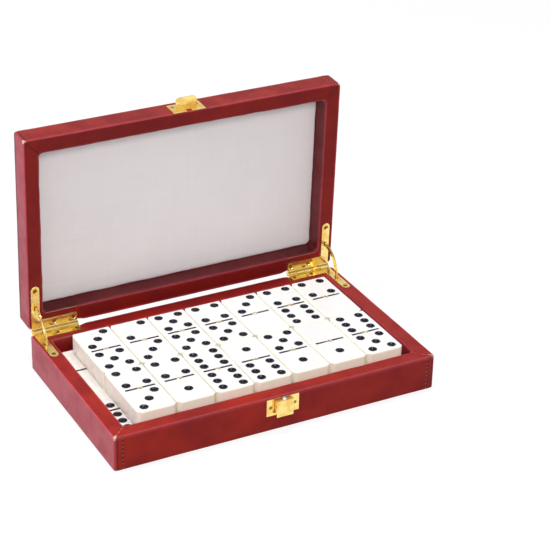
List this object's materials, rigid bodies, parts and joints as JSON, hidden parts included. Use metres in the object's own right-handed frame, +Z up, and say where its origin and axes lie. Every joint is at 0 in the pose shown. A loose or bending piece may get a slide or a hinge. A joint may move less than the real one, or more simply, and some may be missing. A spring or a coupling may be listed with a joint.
{
  "type": "domino storage box",
  "caption": "Flat hinged leatherette box with brass corner hinges, quadrant stays and a front latch, its lid open and a set of ivory dominoes inside.",
  "frame": {"origin": "centre of the base's underside, on the table", "axes": "+X to the right along the front, +Y towards the hinges, +Z up"},
  "size_m": [0.217, 0.1543, 0.1651],
  "materials": {
    "wine_leatherette": "wine-red leatherette with a fine grain, satin",
    "fibreboard": "plain fibreboard under the skin",
    "pale_lining": "pale warm grey velveteen over a thin pad",
    "floor_cloth": "dark wine flock cloth",
    "polished_brass": "bright pressed and plated brass",
    "bright_steel": "bright nickel-plated steel",
    "tile_ivory": "polished ivory-coloured cast resin, black pips, brass spinner"
  },
  "bodies": {
    "base": {"base_underside": "wine_leatherette", "base_bottom_board": "fibreboard", "base_wall_front": "fibreboard", "base_wall_back": "fibreboard", "base_wall_left": "fibreboard", "base_wall_right": "fibreboard", "base_leather": "wine_leatherette", "base_floor_lining": "floor_cloth", "hinge_base_leaf_left": "polished_brass", "hinge_base_leaf_right": "polished_brass", "hinge_pins": "polished_brass", "hinge_base_screws": "polished_brass", "latch_base_plate": "polished_brass", "latch_lever_pin": "polished_brass", "latch_spring": "bright_steel", "latch_base_nails": "polished_brass"},
    "lid": {"lid_top_board": "fibreboard", "lid_wall_front": "fibreboard", "lid_wall_back": "fibreboard", "lid_wall_left": "fibreboard", "lid_wall_right": "fibreboard", "lid_leather": "wine_leatherette", "lid_lining": "pale_lining", "hinge_lid_leaf_left": "polished_brass", "hinge_lid_leaf_right": "polished_brass", "hinge_lid_screws": "polished_brass", "latch_keeper": "polished_brass", "latch_keeper_nails": "polished_brass"},
    "stay_left": {"hinge_stay_left": "polished_brass"},
    "stay_right": {"hinge_stay_right": "polished_brass"},
    "latch_lever": {"latch_lever": "polished_brass", "latch_nose": "bright_steel"},
    "bottom_layer": {"domino_3_6": "tile_ivory", "domino_2_2": "tile_ivory", "domino_2_4": "tile_ivory", "domino_2_5": "tile_ivory", "domino_2_6": "tile_ivory", "domino_3_3": "tile_ivory", "domino_4_4": "tile_ivory", "domino_0_0": "tile_ivory", "domino_0_2": "tile_ivory", "domino_0_5": "tile_ivory", "domino_0_6": "tile_ivory", "domino_1_1": "tile_ivory", "domino_1_2": "tile_ivory", "domino_1_3": "tile_ivory"},
    "domino_3_5": {"domino_3_5": "tile_ivory"},
    "domino_2_3": {"domino_2_3": "tile_ivory"},
    "domino_5_5": {"domino_5_5": "tile_ivory"},
    "domino_4_5": {"domino_4_5": "tile_ivory"},
    "domino_0_3": {"domino_0_3": "tile_ivory"},
    "domino_4_6": {"domino_4_6": "tile_ivory"},
    "domino_0_4": {"domino_0_4": "tile_ivory"},
    "domino_3_4": {"domino_3_4": "tile_ivory"},
    "domino_1_4": {"domino_1_4": "tile_ivory"},
    "domino_6_6": {"domino_6_6": "tile_ivory"},
    "domino_1_6": {"domino_1_6": "tile_ivory"},
    "domino_1_5": {"domino_1_5": "tile_ivory"},
    "domino_0_1": {"domino_0_1": "tile_ivory"},
    "domino_5_6": {"domino_5_6": "tile_ivory"}
  },
  "joints": [
    {"name": "lid_hinge", "type": "hinge", "parent": "base", "child": "lid", "pos_m": [0, 0.06795, 0.02375], "axis": [-1, 0, 0], "range_deg": [-88, 0]},
    {"name": "stay_left_swing", "type": "hinge", "parent": "base", "child": "stay_left", "pos_m": [0, 0.06795, 0.02375], "axis": [-1, 0, 0], "range_deg": [-44, 0]},
    {"name": "stay_right_swing", "type": "hinge", "parent": "base", "child": "stay_right", "pos_m": [0, 0.06795, 0.02375], "axis": [-1, 0, 0], "range_deg": [-44, 0]},
    {"name": "latch_press", "type": "hinge", "parent": "base", "child": "latch_lever", "pos_m": [0.0013, -0.06775, 0.0173], "axis": [1, 0, 0], "range_deg": [0, 12], "stiffness_Nm_per_rad": 0.02, "springref_deg": -11.46},
    {"name": "bottom_layer_lift", "type": "slide", "parent": "base", "child": "bottom_layer", "axis": [0, 0, 1], "range_m": [0, 0.05]},
    {"name": "domino_3_5_lift", "type": "slide", "parent": "bottom_layer", "child": "domino_3_5", "axis": [0, 0, 1], "range_m": [0, 0.03]},
    {"name": "domino_2_3_lift", "type": "slide", "parent": "bottom_layer", "child": "domino_2_3", "axis": [0, 0, 1], "range_m": [0, 0.03]},
    {"name": "domino_5_5_lift", "type": "slide", "parent": "bottom_layer", "child": "domino_5_5", "axis": [0, 0, 1], "range_m": [0, 0.03]},
    {"name": "domino_4_5_lift", "type": "slide", "parent": "bottom_layer", "child": "domino_4_5", "axis": [0, 0, 1], "range_m": [0, 0.03]},
    {"name": "domino_0_3_lift", "type": "slide", "parent": "bottom_layer", "child": "domino_0_3", "axis": [0, 0, 1], "range_m": [0, 0.03]},
    {"name": "domino_4_6_lift", "type": "slide", "parent": "bottom_layer", "child": "domino_4_6", "axis": [0, 0, 1], "range_m": [0, 0.03]},
    {"name": "domino_0_4_lift", "type": "slide", "parent": "bottom_layer", "child": "domino_0_4", "axis": [0, 0, 1], "range_m": [0, 0.03]},
    {"name": "domino_3_4_lift", "type": "slide", "parent": "bottom_layer", "child": "domino_3_4", "axis": [0, 0, 1], "range_m": [0, 0.03]},
    {"name": "domino_1_4_lift", "type": "slide", "parent": "bottom_layer", "child": "domino_1_4", "axis": [0, 0, 1], "range_m": [0, 0.03]},
    {"name": "domino_6_6_lift", "type": "slide", "parent": "bottom_layer", "child": "domino_6_6", "axis": [0, 0, 1], "range_m": [0, 0.03]},
    {"name": "domino_1_6_lift", "type": "slide", "parent": "bottom_layer", "child": "domino_1_6", "axis": [0, 0, 1], "range_m": [0, 0.03]},
    {"name": "domino_1_5_lift", "type": "slide", "parent": "bottom_layer", "child": "domino_1_5", "axis": [0, 0, 1], "range_m": [0, 0.03]},
    {"name": "domino_0_1_lift", "type": "slide", "parent": "bottom_layer", "child": "domino_0_1", "axis": [0, 0, 1], "range_m": [0, 0.03]},
    {"name": "domino_5_6_lift", "type": "slide", "parent": "bottom_layer", "child": "domino_5_6", "axis": [0, 0, 1], "range_m": [0, 0.03]}
  ],
  "couplings": [
    {"joint": "stay_left_swing", "follows": "lid_hinge", "ratio": 0.5},
    {"joint": "stay_right_swing", "follows": "lid_hinge", "ratio": 0.5}
  ]
}
